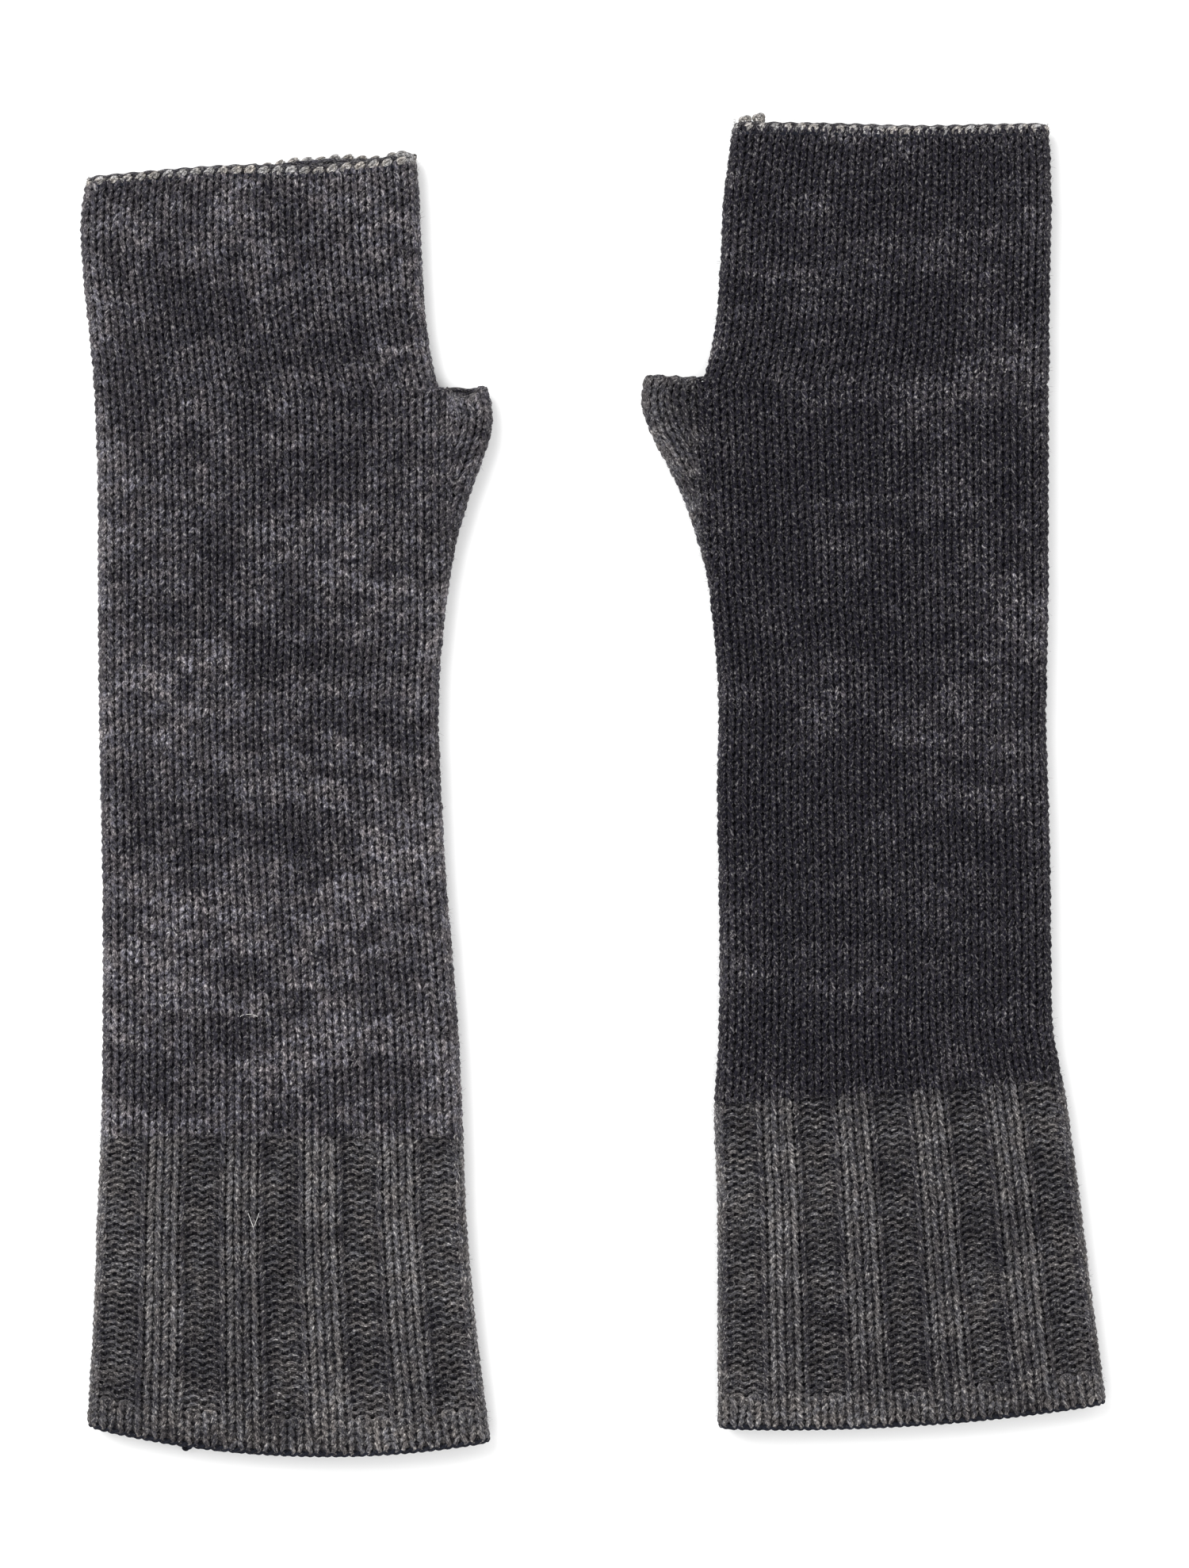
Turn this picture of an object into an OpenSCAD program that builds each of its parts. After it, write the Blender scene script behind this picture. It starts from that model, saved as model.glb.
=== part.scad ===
// A pair of long knitted fingerless gloves, lying flat side by side.
// Each glove is a flattened tube: rib cuff, arm, hand and a thumb gusset with its own opening.
// Millimetres. +Y runs from the cuffs to the fingers and +Z up from the surface they lie on.

/* [Fabric] */
// Thickness of one knitted layer
layer_t = 3.2; // [2.4:0.1:3.6]
// Height of the hollow between the two layers
hollow_h = 4.6; // [4.4:0.1:6]

/* [Bands] */
// Length of the plain welt that starts the cuff
welt_l = 8; // [5:0.5:11]
// Length of the linked chain that closes the finger end
finger_edge_l = 3; // [2:0.5:4]
// Length of the bound edge round the thumb opening
thumb_edge_l = 2.5; // [2:0.5:4]

/* [Folds] */
// Gap between two parts that fold against each other
fold_gap = 0.3; // [0.2:0.1:0.6]
// Slit at the low end of the thumb, which its slanted fold needs
thumb_slit = 1.8; // [1.6:0.1:3]

/* [Thread] */
// Radius of the side seam inside the thumb-side fold
seam_r = 0.8; // [0.5:0.1:1]
// Radius of a fastened yarn end
knot_r = 1.1; // [0.8:0.1:1.4]

/* [Pair] */
// Middle of the left hand, to the left of the pair's middle
left_x = 81.5; // [75:0.5:95]
// Middle of the right hand, to the right of the pair's middle
right_x = 73; // [70:0.5:95]
// Wrist line, above the pair's middle
wrist_y = 18; // [10:0.5:25]

/* [Hidden] */
lie_h = 2 * layer_t + hollow_h;
mid_h = lie_h / 2;
flat_n = 4;
arc_n = 6;
seam_n = 6;
round_fn = 32;

// A row line across the flat tube is [y, outer edge, thumb-side edge, tilt, bow]. y is from the
// wrist line, tilt is how far the thumb side sits above the outer side, and bow how far the
// middle bulges along +Y. The thumb is on +X in both lists; the left glove is placed as it is,
// and the right one is mirrored.
left_cuff = [
    [-182, -46.3, 55.9, -4, -5.6],
    [-182 + welt_l, -45.9, 54.6, -3, -4.2],
    [-160, -45, 52.7, -2, -2.8],
    [-144, -44.3, 50.9, -1, -1.5],
    [-128, -43.8, 49.5, 0, -0.6],
    [-105, -42.8, 48.6, 0, 0]];
left_arm = [
    [-105, -42.8, 48.6, 0, 0],
    [-88, -42.4, 48, 0, 0],
    [-64, -42.3, 46.3, 0, 0],
    [-40, -42.5, 44.3, 0, 0],
    [-16, -43, 43, 0, 0],
    [0, -43.3, 42.5, 0, 0]];
left_palm = [
    [0, -43.3, 42.5, 0, 0],
    [10, -43.4, 42.8, 0, 0],
    [24, -43.5, 44.1, 0, 0],
    [40, -43.6, 46.4, 0, 0],
    [48, -43.6, 48.4, 0, 0],
    [56, -43.7, 50.8, 0, 0],
    [64, -43.8, 53.7, 0, 0],
    [70, -44, 55.7, 0, 0],
    [76, -44.3, 56, 0, 0],
    [82 - thumb_edge_l, -44.5, 55.8, 0, 0],
    [82, -44.6, 55, 0, 0]];
left_fingers = [
    [82, -44.6, 42.4, 0, 0],
    [88, -45, 40.9, 0.6, 0],
    [96, -45.7, 39.6, 1.6, 0],
    [112, -47.3, 38.3, 4, 0],
    [128, -47.8, 37.6, 5.6, 0.4],
    [138 - finger_edge_l, -47, 37.2, 6, 0.6],
    [138, -45.6, 36.6, 6, 0.6]];

right_cuff = [
    [-176.5, -56.4, 41.8, -6, -2.4],
    [-176.5 + welt_l, -55.2, 41.8, -6, -2],
    [-152, -53, 41.8, -6, -1.2],
    [-136, -51, 41.8, -6, -0.6],
    [-120, -49, 41.9, -5.8, 0],
    [-94, -45.2, 42.6, -5.4, 0]];
right_arm = [
    [-94, -45.2, 42.6, -5.4, 0],
    [-82, -43, 41.8, -4.6, 0],
    [-64, -42.5, 41.4, -3.4, 0],
    [-40, -42.2, 41.6, -1.6, 0],
    [-16, -41.6, 42, -0.2, 0],
    [0, -41.2, 41.6, 0, 0]];
right_palm = [
    [0, -41.2, 41.6, 0, 0],
    [10, -41.4, 42, 0, 0],
    [24, -41.7, 43.2, 0, 0],
    [40, -41.8, 45.8, 0, 0],
    [48, -41.8, 48.4, 0, 0],
    [56, -41.8, 51.4, 0, 0],
    [64, -41.8, 55.4, 0, 0],
    [72, -41.8, 59.4, 0, 0],
    [78, -41.8, 61, 0, 0],
    [84 - thumb_edge_l, -41.8, 61.2, 0, 0],
    [84, -41.9, 60.4, 0, 0]];
right_fingers = [
    [84, -41.9, 45.4, 0, 0],
    [88, -42, 44.6, 0.2, 0],
    [96, -42, 43.2, 0.4, 0],
    [112, -42.2, 41.4, 0.8, 0],
    [128, -42.6, 40.4, 0.8, -0.2],
    [149.3 - finger_edge_l, -42.2, 38.6, 0.4, -0.3],
    [149.3, -41.4, 37, 0.4, -0.3]];

// The line that the thumb folds on: [low y, low x, high y, high x], on the hand's own rows.
left_thumb_line = [10, 36.6, 82, 42.4];
right_thumb_line = [10, 35.2, 84, 45.4];

function mix(a, b, t) = a + (b - a) * t;

// Height along Y of a row line at the share f from the outer edge to the thumb-side edge.
function row_y(row, f) = row[0] + row[3] * (f - 0.5) + row[4] * 4 * f * (1 - f);

// A section point [x, z] of a row, placed in space.
function placed(row, p) = [p[0], row_y(row, (p[0] - row[1]) / (row[2] - row[1])), p[1]];

// The half circle of a side fold from the top layer down to the bottom one. side is 1 or -1.
function fold_arc(edge, side, inset) =
    let (r = mid_h - inset, x = edge - side * mid_h)
    [for (i = [0 : arc_n])
        let (a = 90 - 180 * i / arc_n)
        [x + side * r * cos(a), mid_h + r * sin(a)]];

// Points across one layer from x0 to x1, without the last.
function across(x0, x1, z) = [for (i = [0 : flat_n - 1]) [mix(x0, x1, i / flat_n), z]];

function ring(row, inset) =
    let (
        r = mid_h - inset,
        x0 = row[1] + mid_h,
        x1 = row[2] - mid_h,
        top = across(x0, x1, mid_h + r),
        thumb_fold = fold_arc(row[2], 1, inset),
        low = across(x1, x0, mid_h - r),
        outer_fold = fold_arc(row[1], -1, inset),
        back = [for (i = [arc_n : -1 : 1]) outer_fold[i]])
    [for (p = concat(top, thumb_fold, [for (i = [1 : flat_n - 1]) low[i]], back)) placed(row, p)];

// The part of a ring on one side of the cut x: from the top at the cut, round the fold, and back.
function hook(row, cut, side, inset) =
    let (
        r = mid_h - inset,
        edge = side > 0 ? row[2] : row[1],
        x = edge - side * mid_h,
        top = across(cut, x, mid_h + r),
        low = across(cut, x, mid_h - r))
    [for (p = concat(top, fold_arc(edge, side, inset), [for (i = [flat_n - 1 : -1 : 0]) low[i]]))
        placed(row, p)];

function quad(a, b, c, d) = [[a, b, c], [a, c, d]];

// A knitted wall between an outer and an inner grid of points, one list per row line. A closed
// wall runs all the way round, and an open one ends in two cut faces.
module wall(outer, inner, closed) {
    rows = len(outer);
    n = len(outer[0]);
    steps = closed ? n : n - 1;
    first_in = rows * n;
    function o(i, j) = i * n + j % n;
    function q(i, j) = first_in + i * n + j % n;
    skin = [for (i = [0 : rows - 2], j = [0 : steps - 1])
        each concat(
            quad(o(i, j), o(i, j + 1), o(i + 1, j + 1), o(i + 1, j)),
            quad(q(i, j), q(i + 1, j), q(i + 1, j + 1), q(i, j + 1)))];
    rims = [for (j = [0 : steps - 1])
        each concat(
            quad(o(0, j), q(0, j), q(0, j + 1), o(0, j + 1)),
            quad(o(rows - 1, j), o(rows - 1, j + 1), q(rows - 1, j + 1), q(rows - 1, j)))];
    cuts = closed ? [] : [for (i = [0 : rows - 2])
        each concat(
            quad(o(i, 0), o(i + 1, 0), q(i + 1, 0), q(i, 0)),
            quad(o(i, n - 1), q(i, n - 1), q(i + 1, n - 1), o(i + 1, n - 1)))];
    polyhedron(concat([for (r = outer) each r], [for (r = inner) each r]), concat(skin, rims, cuts));
}

module tube(rows) {
    wall([for (r = rows) ring(r, 0)], [for (r = rows) ring(r, layer_t)], true);
}

function cut_at(line, y) = mix(line[1], line[3], (y - line[0]) / (line[2] - line[0]));

// One side of a tube, cut along the thumb line: side 1 keeps the thumb, and -1 the hand.
module half_tube(rows, line, side) {
    function cut(r) = cut_at(line, r[0]) + side * fold_gap / 2;
    // The wall's faces point outwards on the thumb's side, and its mirror image on the hand's.
    ordered = side > 0 ? rows : [for (i = [len(rows) - 1 : -1 : 0]) rows[i]];
    wall([for (r = ordered) hook(r, cut(r), side, 0)],
        [for (r = ordered) hook(r, cut(r), side, layer_t)], false);
}

// Rows with the first or last one moved along Y, to leave half a fold's gap.
function from_gap(rows) = [for (i = [0 : len(rows) - 1])
    i == 0 ? [rows[0][0] + fold_gap / 2, each [for (k = [1 : 4]) rows[0][k]]] : rows[i]];
function to_gap(rows) =
    let (last = len(rows) - 1)
    [for (i = [0 : last])
        i == last ? [rows[last][0] - fold_gap / 2, each [for (k = [1 : 4]) rows[last][k]]] : rows[i]];
// The thumb's rows start a slit's width above the row where the tube is still closed.
function to_thumb(rows) = [for (i = [0 : len(rows) - 1])
    i == 0 ? [rows[0][0] + thumb_slit, each [for (k = [1 : 4]) rows[0][k]]] : rows[i]];
function part_of(rows, a, b) = [for (i = [a : b]) rows[i]];

// The seam's thread, a bead that lies inside the thumb-side fold along these rows.
module seam(rows) {
    n = seam_n;
    last = len(rows) - 1;
    x_in = layer_t + seam_r + 0.15;
    points = [for (r = rows, k = [0 : n - 1])
        [r[2] - x_in + seam_r * cos(360 * k / n), row_y(r, 1), mid_h + seam_r * sin(360 * k / n)]];
    skin = [for (i = [0 : last - 1], k = [0 : n - 1])
        each quad(i * n + k, (i + 1) * n + k, (i + 1) * n + (k + 1) % n, i * n + (k + 1) % n)];
    ends = [[for (k = [0 : n - 1]) k], [for (k = [n - 1 : -1 : 0]) last * n + k]];
    polyhedron(points, concat(skin, ends));
}

// A fastened yarn end: a short roll of yarn that lies along an edge.
module knot(x, y, z, way) {
    translate([x - 1.5 * knot_r, y + way * (knot_r + 0.3), z])
        rotate([0, 90, 0]) cylinder(r = knot_r, h = 3 * knot_r, $fn = round_fn);
}

module left_place() { translate([-left_x, wrist_y, 0]) children(); }
module right_place() { translate([right_x, wrist_y, 0]) mirror([1, 0, 0]) children(); }

// Left glove
module left_rib_cuff() { color("#4a4a4c") left_place() tube(to_gap(part_of(left_cuff, 1, 5))); }
module left_cuff_welt() { color("#3d3d40") left_place() tube(part_of(left_cuff, 0, 1)); }
module left_cuff_seam() { color("#2b2b2e") left_place() seam(to_gap(left_cuff)); }
module left_cuff_knot() {
    color("#232326") left_place() knot(-21, row_y(left_cuff[0], 0.245), 2.2, -1);
}
module left_arm_tube() { color("#3a3a3d") left_place() tube(from_gap(to_gap(left_arm))); }
module left_arm_seam() { color("#2b2b2e") left_place() seam(from_gap(to_gap(left_arm))); }
module left_palm_tube() {
    color("#38383b") left_place() {
        tube(from_gap(part_of(left_palm, 0, 1)));
        half_tube(part_of(left_palm, 1, 10), left_thumb_line, -1);
    }
}
module left_finger_tube() { color("#38383b") left_place() tube(part_of(left_fingers, 0, 5)); }
module left_finger_edge() { color("#6a6864") left_place() tube(part_of(left_fingers, 5, 6)); }
module left_hand_seam() {
    color("#2b2b2e") left_place() seam(part_of(left_fingers, 0, 6));
}
module left_finger_knot() {
    color("#5a5854") left_place() knot(34, row_y(left_fingers[6], 0.96), 4.4, 1);
}
module left_thumb_gusset() {
    color("#454548") left_place() half_tube(to_thumb(part_of(left_palm, 1, 9)), left_thumb_line, 1);
}
module left_thumb_edge() {
    color("#55534f") left_place() half_tube(part_of(left_palm, 9, 10), left_thumb_line, 1);
}

// Right glove
module right_rib_cuff() { color("#4a4a4c") right_place() tube(to_gap(part_of(right_cuff, 1, 5))); }
module right_cuff_welt() { color("#3d3d40") right_place() tube(part_of(right_cuff, 0, 1)); }
module right_cuff_seam() { color("#2b2b2e") right_place() seam(to_gap(right_cuff)); }
module right_arm_tube() { color("#303033") right_place() tube(from_gap(to_gap(right_arm))); }
module right_arm_seam() { color("#2b2b2e") right_place() seam(from_gap(to_gap(right_arm))); }
module right_palm_tube() {
    color("#2c2c2f") right_place() {
        tube(from_gap(part_of(right_palm, 0, 1)));
        half_tube(part_of(right_palm, 1, 10), right_thumb_line, -1);
    }
}
module right_finger_tube() { color("#2e2e31") right_place() tube(part_of(right_fingers, 0, 5)); }
module right_finger_edge() { color("#5c5a56") right_place() tube(part_of(right_fingers, 5, 6)); }
module right_hand_seam() {
    color("#2b2b2e") right_place() seam(part_of(right_fingers, 0, 6));
}
module right_finger_knot() {
    color("#4e4c49") right_place() knot(33, row_y(right_fingers[6], 0.95), 6.2, 1);
}
module right_thumb_gusset() {
    color("#4c4b49") right_place()
        half_tube(to_thumb(part_of(right_palm, 1, 9)), right_thumb_line, 1);
}
module right_thumb_edge() {
    color("#5c5a56") right_place() half_tube(part_of(right_palm, 9, 10), right_thumb_line, 1);
}

left_rib_cuff();
left_cuff_welt();
left_cuff_seam();
left_cuff_knot();
left_arm_tube();
left_arm_seam();
left_palm_tube();
left_finger_tube();
left_finger_edge();
left_hand_seam();
left_finger_knot();
left_thumb_gusset();
left_thumb_edge();
right_rib_cuff();
right_cuff_welt();
right_cuff_seam();
right_arm_tube();
right_arm_seam();
right_palm_tube();
right_finger_tube();
right_finger_edge();
right_hand_seam();
right_finger_knot();
right_thumb_gusset();
right_thumb_edge();
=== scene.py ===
import math

import bpy
import numpy as np
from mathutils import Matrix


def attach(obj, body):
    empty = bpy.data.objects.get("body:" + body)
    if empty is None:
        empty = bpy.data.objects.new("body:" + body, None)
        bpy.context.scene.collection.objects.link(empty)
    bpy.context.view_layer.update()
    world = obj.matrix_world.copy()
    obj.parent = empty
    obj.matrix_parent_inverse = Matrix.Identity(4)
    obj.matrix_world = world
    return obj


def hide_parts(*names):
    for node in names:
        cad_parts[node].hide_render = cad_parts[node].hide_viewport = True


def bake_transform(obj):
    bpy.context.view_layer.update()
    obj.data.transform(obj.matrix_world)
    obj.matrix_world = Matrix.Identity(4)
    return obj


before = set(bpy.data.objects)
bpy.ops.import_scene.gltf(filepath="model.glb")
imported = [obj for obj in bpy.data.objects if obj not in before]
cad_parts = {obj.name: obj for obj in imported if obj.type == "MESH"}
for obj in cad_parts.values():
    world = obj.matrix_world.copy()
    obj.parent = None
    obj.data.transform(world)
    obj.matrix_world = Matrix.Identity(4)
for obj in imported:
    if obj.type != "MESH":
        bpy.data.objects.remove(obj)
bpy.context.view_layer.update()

# The outlines of the two gloves: flattened tubes of one wool layer that fold at both sides. They
# are in millimetres from each glove's own wrist line and middle, with the thumb on +X, and the
# right glove is a mirror image.
LEFT = {
    "name": "left", "x": -81.5, "y": 18.0, "flip": 1.0, "seed": 11,
    # y, outer edge, thumb-side edge, tilt and bow: below the thumb's notch, then above it.
    "low": [(-182, -46.3, 55.9, -4, -5.4), (-174, -45.9, 54.6, -3, -4.2),
            (-160, -45, 52.7, -2, -2.8), (-144, -44.3, 50.9, -1, -1.5),
            (-128, -43.8, 49.5, 0, -0.6), (-105, -42.8, 48.6, 0, 0),
            (-88, -42.4, 48, 0, 0), (-64, -42.3, 46.3, 0, 0), (-40, -42.5, 44.3, 0, 0),
            (-16, -43, 43, 0, 0), (0, -43.3, 42.5, 0, 0), (10, -43.4, 42.8, 0, 0),
            (24, -43.5, 44.1, 0, 0), (40, -43.6, 46.4, 0, 0), (48, -43.6, 48.4, 0, 0),
            (56, -43.7, 50.8, 0, 0), (64, -43.8, 53.7, 0, 0), (70, -44, 55.6, 0, 0),
            (76, -44.3, 56, 0, 0), (82, -44.6, 54.6, 0, 0)],
    "top": [(82, -44.6, 42.4, 0, 0), (88, -45, 40.9, 0.6, 0), (96, -45.7, 39.6, 1.6, 0),
            (112, -47.3, 38.3, 4, 0), (128, -47.8, 37.6, 5.6, 0.4), (138, -46.4, 36.8, 6, 0.6)],
    # The height of a knitted course, and the course that each part starts at.
    "courses": [(-3, -185.5), (0, -179), (4, -172), (41, -105), (90, 0), (128, 82),
                (154, 136.5), (157, 143)],
    "welt": 4, "rib": 41, "wrist": 90, "palm": 95, "notch": 128, "end": 154,
    # The deepest dye: wale, course, its spread over wales and over courses, and its depth.
    "pools": [(18.5, 145, 6, 7, 0.5), (20, 136, 5, 5, 0.4), (13.5, 129, 6, 8, 0.45),
              (12.5, 116, 4, 5, 0.4), (12, 97, 2.5, 4, 0.5), (20, 97, 2, 3, 0.45),
              (1.5, 76, 2, 4, 0.45), (6, 134, 4, 8, 0.35), (7, 105, 3, 5, 0.3),
              (17, 122, 4, 3, 0.35)],
    # Where the gusset starts, as y and x at both ends of a line.
    "boundary": (10, 42.8, 82, 42.4),
    # At the finger edge the upper layer dips and the lower one stands up, both most at one wale.
    # The thumb's upper layer dips too.
    "lip_q": 17.0, "lip": 1.6, "back_up": 1.5, "thumb_lip": 2.6, "edge_up": 0.5,
}
RIGHT = {
    "name": "right", "x": 73.0, "y": 18.0, "flip": -1.0, "seed": 29,
    "low": [(-176.5, -56.4, 41.8, -6, -2.4), (-168.5, -55.2, 41.8, -6, -2),
            (-152, -53, 41.8, -6, -1.2), (-136, -51, 41.8, -6, -0.6),
            (-120, -49, 41.9, -5.8, 0), (-94, -45.2, 42.6, -5.4, 0),
            (-82, -43, 41.8, -4.6, 0), (-64, -42.5, 41.4, -3.4, 0), (-40, -42.2, 41.6, -1.6, 0),
            (-16, -41.6, 42, -0.2, 0), (0, -41.2, 41.6, 0, 0), (10, -41.4, 42, 0, 0),
            (24, -41.7, 43.2, 0, 0), (40, -41.8, 45.8, 0, 0), (48, -41.8, 48.4, 0, 0),
            (56, -41.8, 51.4, 0, 0), (64, -41.8, 55.4, 0, 0), (72, -41.8, 59.4, 0, 0),
            (78, -41.8, 61, 0, 0), (84, -41.9, 60.2, 2, 0)],
    "top": [(84, -41.9, 45.4, 0, 0), (88, -42, 44.2, 0.2, 0), (96, -42, 42.6, 0.4, 0),
            (112, -42.2, 41.2, 0.8, 0), (128, -42.6, 40.4, 0.8, -0.2),
            (149.3, -41.8, 37.8, 0.4, -0.3)],
    "courses": [(-3, -180.5), (0, -174.4), (4, -167.4), (44, -94), (88, 0), (127, 84),
                (157, 148), (160, 154)],
    "welt": 4, "rib": 44, "wrist": 88, "palm": 93, "notch": 127, "end": 157,
    "pools": [(21, 116, 3.5, 22, 0.75), (24.5, 116, 1.5, 22, 0.4), (13, 98, 6, 9, 0.65),
              (22, 79, 3.5, 12, 0.6), (13, 51, 12, 5, 0.45), (4, 112, 3, 6, 0.55),
              (8, 73, 5, 6, 0.5), (11, 132, 5, 6, 0.45), (15, 62, 4, 6, 0.35),
              (20, 150, 4, 6, 0.3)],
    "boundary": (10, 42, 84, 45.4),
    "lip_q": 10.0, "lip": 0.5, "back_up": 0.0, "thumb_lip": 0.3, "edge_up": -0.3,
}
FOLD = 3.5  # radius of the bend at a fold
MID = 4.8  # height of the middle plane between the layers
OUTER_INSET, THUMB_INSET = 1.4, 0.75  # how far inside the outline the yarn's middle runs
BODY_WALES = 24
GUSSET_PITCH = 3.5
RIB_REPEAT, PURL_WALES = 5, (1, 2)  # three knit wales and two purl wales
RIB_DEPTH = 0.95


def smooth(table, column, y):
    """A cubic curve through a column of a table against its first one. The slope at each point
    is the mean of the slopes beside it, and the curve goes straight on past both ends."""
    xs = np.array([row[0] for row in table], float)
    ys = np.array([row[column] for row in table], float)
    m = np.gradient(ys, xs)
    i = np.clip(np.searchsorted(xs, y) - 1, 0, len(xs) - 2)
    h = xs[i + 1] - xs[i]
    t = (y - xs[i]) / h
    c = np.clip(t, 0, 1)
    v = (2 * c**3 - 3 * c**2 + 1) * ys[i] + (c**3 - 2 * c**2 + c) * h * m[i]
    v = v + (3 * c**2 - 2 * c**3) * ys[i + 1] + (c**3 - c**2) * h * m[i + 1]
    return v + np.where(t < 0, t * h * m[i], 0) + np.where(t > 1, (t - 1) * h * m[i + 1], 0)


def step(a, b, x):
    """0 before a, 1 after b, and a smooth S between them."""
    t = np.clip((x - a) / (b - a), 0, 1)
    return t * t * (3 - 2 * t)


def row_facts(g, tube, r):
    """Height, edges, tilt, bow, the arc length of one face from fold to fold, and the gusset's
    share of it. The edges are where the yarn's middle runs: its thickness reaches the outline."""
    heights = g["courses"]
    y = np.interp(r, [c[0] for c in heights], [c[1] for c in heights])
    xl, xr, tilt, bow = [smooth(g[tube], k, y) for k in (1, 2, 3, 4)]
    xl, xr = xl + OUTER_INSET, xr - THUMB_INSET
    face = xr - xl + (math.pi - 2) * FOLD
    y0, x0, y1, x1 = g["boundary"]
    line = x0 + (x1 - x0) * np.clip((y - y0) / (y1 - y0), 0, 1)
    gusset = np.where((tube == "low") & (y > y0), np.maximum(xr - line, 0), 0)
    return y, xl, xr, tilt, bow, face, gusset


def wale_to_arc(facts, q, gusset_wales):
    """Arc length from the outer fold for wale coordinate q. Body wales share the body's part
    evenly. Gusset wales are counted in from the thumb fold at one pitch, and the innermost takes
    the rest."""
    face, gusset = facts[5], facts[6]
    n = gusset_wales
    s = (face - gusset) * np.minimum(q, BODY_WALES) / BODY_WALES
    if n == 0:
        s = s + gusset * np.clip(q - BODY_WALES + 1, 0, 1)
        return s + np.maximum(q - BODY_WALES, 0) * GUSSET_PITCH
    m = np.maximum(q - BODY_WALES, 0)
    inner = face - gusset + m * (gusset - (n - 1) * GUSSET_PITCH)
    outer = face - (n - m) * GUSSET_PITCH
    return np.where(m > 0, np.where(m < 1, inner, outer), s)


def surface(g, tube, q, r, side, z, gusset_wales=0):
    """Points and outward normals on a glove. A face is flat but for a quarter round at each fold.
    z is the height above the layer's middle, and side is 1 for the upper layer and -1 for the
    lower one."""
    q, r, z = np.broadcast_arrays(np.asarray(q, float), np.asarray(r, float), np.asarray(z, float))
    facts = row_facts(g, tube, r)
    y, xl, xr, tilt, bow, face, gusset = facts
    s = wale_to_arc(facts, q, gusset_wales)
    near = np.minimum(s, face - s)
    angle = np.minimum(near / FOLD, math.pi / 2)
    d = FOLD * (1 - np.cos(angle)) + np.maximum(near - FOLD * math.pi / 2, 0)
    outer = s < face / 2
    x = np.where(outer, xl + d, xr - d)
    lift = FOLD * np.sin(angle)
    # The rib's wales rise and sink in a wave, and the rib as a whole lies flatter.
    in_rib = step(g["welt"] - 1.5, g["welt"] + 1.5, r)
    in_rib = in_rib * (1 - step(g["rib"] - 1.2, g["rib"] + 1.5, r))
    wave = np.cos(2 * math.pi * (q - 2) / RIB_REPEAT)
    z = z - RIB_DEPTH * in_rib * wave * (1 + 0.25 * wave) * np.sin(angle)
    lift = lift * (1 - 0.17 * in_rib)
    # The layers come together where the thumb parts from the fingers.
    if tube == "low":
        split = step(g["notch"] - 13, g["notch"], r)
        lift = lift * (1 - 0.85 * split * np.exp(-(((s - face + gusset) / 2.6) ** 2)))
    # The upper layer isn't quite flat.
    if side > 0:
        swell = np.sin(x / 19 + 0.7 * g["flip"]) * np.sin(y / 27 + 1.1)
        swell = swell + 0.6 * np.sin(x / 9.5 + y / 14 + g["seed"])
        lift = lift * (1 + 0.09 * swell)
    share = (x - xl) / (xr - xl)
    y = y + tilt * (share - 0.5) + bow * 4 * share * (1 - share)
    rim = step(g["end"] - 7, g["end"], r) if tube == "top" else 0
    lip = g["lip"] if side > 0 else -g["back_up"]
    y = y - lip * rim * np.exp(-(((q - g["lip_q"]) / 4.5) ** 2))
    if side > 0 and tube == "low":
        past = s - face + gusset
        beside_notch = step(0, 2.5, past) * (1 - step(6, 9, past))
        y = y - g["thumb_lip"] * step(g["notch"] - 5, g["notch"], r) * beside_notch
    nx = np.where(outer, -1, 1) * np.cos(angle)
    nz = side * np.sin(angle)
    z = z * (1 - 0.45 * np.cos(angle))
    co = np.stack([x + nx * z, y, MID + side * lift + nz * z], -1)
    return co, np.stack([nx, 0 * nx, nz], -1)


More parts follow.
